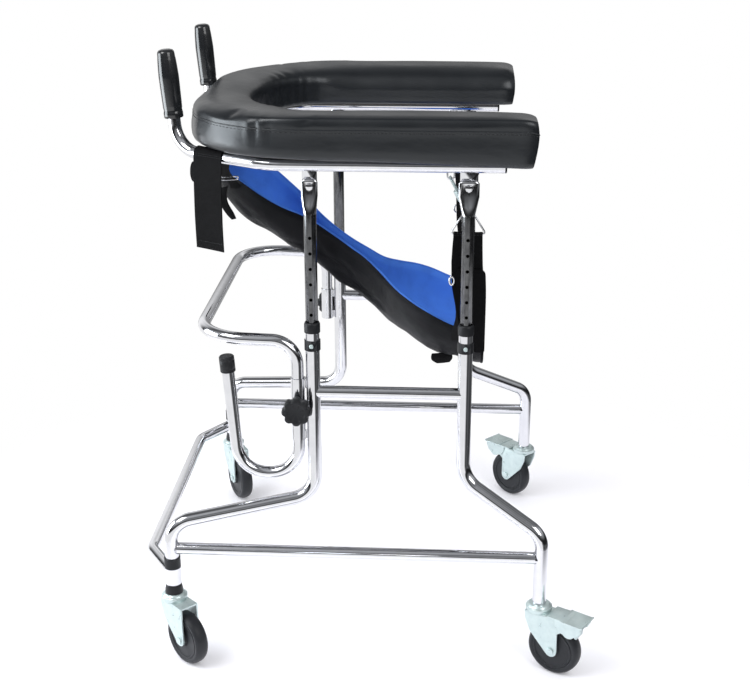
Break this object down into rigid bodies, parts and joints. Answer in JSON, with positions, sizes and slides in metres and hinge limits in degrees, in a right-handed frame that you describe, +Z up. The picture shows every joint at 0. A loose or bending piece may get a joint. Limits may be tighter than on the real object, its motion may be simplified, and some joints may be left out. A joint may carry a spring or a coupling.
{
  "type": "rehabilitation walker",
  "caption": "Standing-support walker on swivel casters with a horseshoe arm pad, upright handles, height-adjustable posts, a cloth seat sling and a sliding guard bar.",
  "frame": {"origin": "on the floor under the middle of the walker's box, on its plane of near symmetry", "axes": "+Z up, -Y towards the handles and the closed front of the pad, +X to the side of the crutch hook"},
  "size_m": [0.8328, 0.8287, 1.0837],
  "materials": {
    "chrome": "bright polished plated tube",
    "post_chrome": "darker plated tube with fine sliding marks",
    "zinc": "pale passivated plating",
    "black_plastic": "fine-grained moulding",
    "grip_rubber": "smooth satin sleeve",
    "tyre": "dark grey moulded wheel with rounded tread",
    "pad_vinyl": "soft fine-grained vinyl cover",
    "board": "dark stained plywood",
    "sling_cloth": "padded cloth, blue inside and black outside",
    "webbing": "woven band"
  },
  "bodies": {
    "frame": {"low_crossbar": "chrome", "left_hook_sleeve": "chrome", "right_clamp_sleeve": "chrome", "hook_cap": "black_plastic", "left_lower_bar": "chrome", "left_stem_collar": "chrome", "left_stem_bush": "black_plastic", "left_front_leg": "chrome", "left_front_end_bush": "black_plastic", "left_front_lock_collar": "black_plastic", "left_rear_leg": "chrome", "left_rear_end_bush": "black_plastic", "left_rear_lock_collar": "black_plastic", "right_lower_bar": "chrome", "right_stem_collar": "chrome", "right_stem_bush": "black_plastic", "right_front_leg": "chrome", "right_front_end_bush": "black_plastic", "right_front_lock_collar": "black_plastic", "right_rear_leg": "chrome", "right_rear_end_bush": "black_plastic", "right_rear_lock_collar": "black_plastic"},
    "upper": {"pad_board": "board", "arm_pad": "pad_vinyl", "seat_sling": "sling_cloth", "left_front_post": "post_chrome", "left_rear_post": "post_chrome", "left_rail": "chrome", "left_rail_plug": "black_plastic", "left_grip": "grip_rubber", "left_front_strap": "webbing", "left_rear_strap": "webbing", "left_triangle_ring": "chrome", "left_snap_hook": "zinc", "right_front_post": "post_chrome", "right_rear_post": "post_chrome", "right_rail": "chrome", "right_rail_plug": "black_plastic", "right_grip": "grip_rubber", "right_front_strap": "webbing", "right_rear_strap": "webbing", "right_triangle_ring": "chrome", "right_snap_hook": "zinc"},
    "guard": {"guard_bar": "chrome"},
    "left_knob": {"left_knob": "black_plastic"},
    "right_knob": {"right_knob": "black_plastic"},
    "left_front_fork": {"left_front_fork": "zinc"},
    "left_front_wheel": {"left_front_wheel": "tyre"},
    "right_front_fork": {"right_front_fork": "zinc"},
    "right_front_wheel": {"right_front_wheel": "tyre"},
    "left_rear_fork": {"left_rear_fork": "zinc"},
    "left_rear_wheel": {"left_rear_wheel": "tyre"},
    "left_rear_pedal": {"left_rear_pedal": "zinc"},
    "right_rear_fork": {"right_rear_fork": "zinc"},
    "right_rear_wheel": {"right_rear_wheel": "tyre"},
    "right_rear_pedal": {"right_rear_pedal": "zinc"},
    "left_front_lock_button": {"left_front_lock_button": "zinc"},
    "left_rear_lock_button": {"left_rear_lock_button": "zinc"},
    "right_front_lock_button": {"right_front_lock_button": "zinc"},
    "right_rear_lock_button": {"right_rear_lock_button": "zinc"}
  },
  "joints": [
    {"name": "height_adjust", "type": "slide", "parent": "frame", "child": "upper", "axis": [0, 0, 1], "range_m": [-0.1096, 0.0274]},
    {"name": "guard_slide", "type": "slide", "parent": "frame", "child": "guard", "axis": [0, 0, 1], "range_m": [-0.02, 0.01]},
    {"name": "left_knob_turn", "type": "hinge", "parent": "frame", "child": "left_knob", "pos_m": [0.2908, -0.1195, 0.477], "axis": [1, 0, 0], "continuous": true},
    {"name": "right_knob_turn", "type": "hinge", "parent": "frame", "child": "right_knob", "pos_m": [-0.2908, -0.1195, 0.477], "axis": [-1, 0, 0], "continuous": true},
    {"name": "left_front_swivel", "type": "hinge", "parent": "frame", "child": "left_front_fork", "pos_m": [0.338, -0.348, 0.117], "axis": [0, 0, 1], "continuous": true},
    {"name": "left_front_roll", "type": "hinge", "parent": "left_front_fork", "child": "left_front_wheel", "pos_m": [0.36266, -0.32246, 0.05], "axis": [-0.7193, 0.6947, 0], "continuous": true},
    {"name": "right_front_swivel", "type": "hinge", "parent": "frame", "child": "right_front_fork", "pos_m": [-0.338, -0.348, 0.117], "axis": [0, 0, 1], "continuous": true},
    {"name": "right_front_roll", "type": "hinge", "parent": "right_front_fork", "child": "right_front_wheel", "pos_m": [-0.30726, -0.33025, 0.05], "axis": [-0.5, 0.866, 0], "continuous": true},
    {"name": "left_rear_swivel", "type": "hinge", "parent": "frame", "child": "left_rear_fork", "pos_m": [0.338, 0.316, 0.117], "axis": [0, 0, 1], "continuous": true},
    {"name": "left_rear_roll", "type": "hinge", "parent": "left_rear_fork", "child": "left_rear_wheel", "pos_m": [0.35628, 0.34643, 0.05], "axis": [-0.8572, 0.515, 0], "continuous": true},
    {"name": "left_rear_brake", "type": "hinge", "parent": "left_rear_fork", "child": "left_rear_pedal", "pos_m": [0.37096, 0.37086, 0.105], "axis": [-0.8572, 0.515, 0], "range_deg": [0, 12]},
    {"name": "right_rear_swivel", "type": "hinge", "parent": "frame", "child": "right_rear_fork", "pos_m": [-0.338, 0.316, 0.117], "axis": [0, 0, 1], "continuous": true},
    {"name": "right_rear_roll", "type": "hinge", "parent": "right_rear_fork", "child": "right_rear_wheel", "pos_m": [-0.36266, 0.29046, 0.05], "axis": [0.7193, -0.6947, 0], "continuous": true},
    {"name": "right_rear_brake", "type": "hinge", "parent": "right_rear_fork", "child": "right_rear_pedal", "pos_m": [-0.38246, 0.26996, 0.105], "axis": [0.7193, -0.6947, 0], "range_deg": [0, 12]},
    {"name": "left_front_lock", "type": "slide", "parent": "frame", "child": "left_front_lock_button", "axis": [1, 0, 0], "range_m": [0, 0.005], "stiffness_N_per_m": 600, "springref_m": -0.003},
    {"name": "left_rear_lock", "type": "slide", "parent": "frame", "child": "left_rear_lock_button", "axis": [1, 0, 0], "range_m": [0, 0.005], "stiffness_N_per_m": 600, "springref_m": -0.003},
    {"name": "right_front_lock", "type": "slide", "parent": "frame", "child": "right_front_lock_button", "axis": [-1, 0, 0], "range_m": [0, 0.005], "stiffness_N_per_m": 600, "springref_m": -0.003},
    {"name": "right_rear_lock", "type": "slide", "parent": "frame", "child": "right_rear_lock_button", "axis": [-1, 0, 0], "range_m": [0, 0.005], "stiffness_N_per_m": 600, "springref_m": -0.003}
  ]
}
